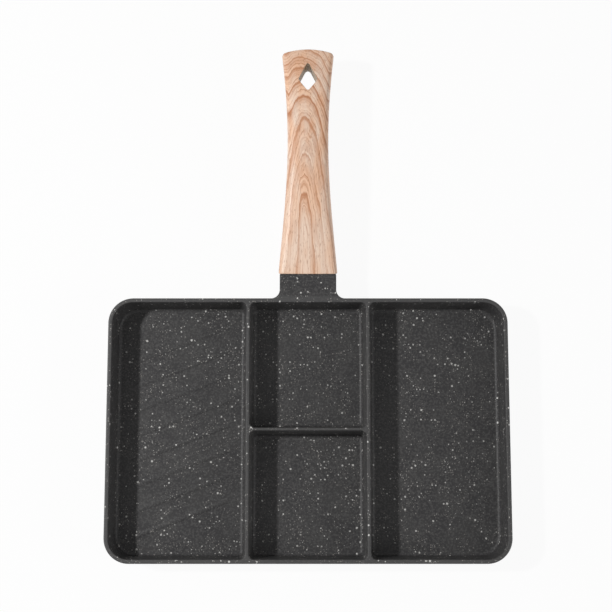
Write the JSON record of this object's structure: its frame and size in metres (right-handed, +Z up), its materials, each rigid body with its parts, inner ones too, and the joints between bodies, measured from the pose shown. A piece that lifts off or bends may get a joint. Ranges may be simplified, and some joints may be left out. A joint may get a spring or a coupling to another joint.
{
  "type": "divided frying pan",
  "caption": "Rectangular cast frying pan with separate cooking compartments, one with low slanting ribs, and a waisted wood-look handle with a hanging hole.",
  "frame": {"origin": "centre of the flat base face, on the surface the pan stands on", "axes": "+Z up, +Y from the tray towards the handle's tip, +X to the right when the handle points away from the cook"},
  "size_m": [0.3206, 0.4153, 0.0443],
  "materials": {
    "speckled_coating": "satin",
    "wood_look_grip": "satin",
    "screw_steel": "satin"
  },
  "bodies": {
    "root": {"pan_body": "speckled_coating", "handle": "wood_look_grip", "handle_screw": "screw_steel", "screw_washer": "screw_steel"}
  },
  "joints": []
}
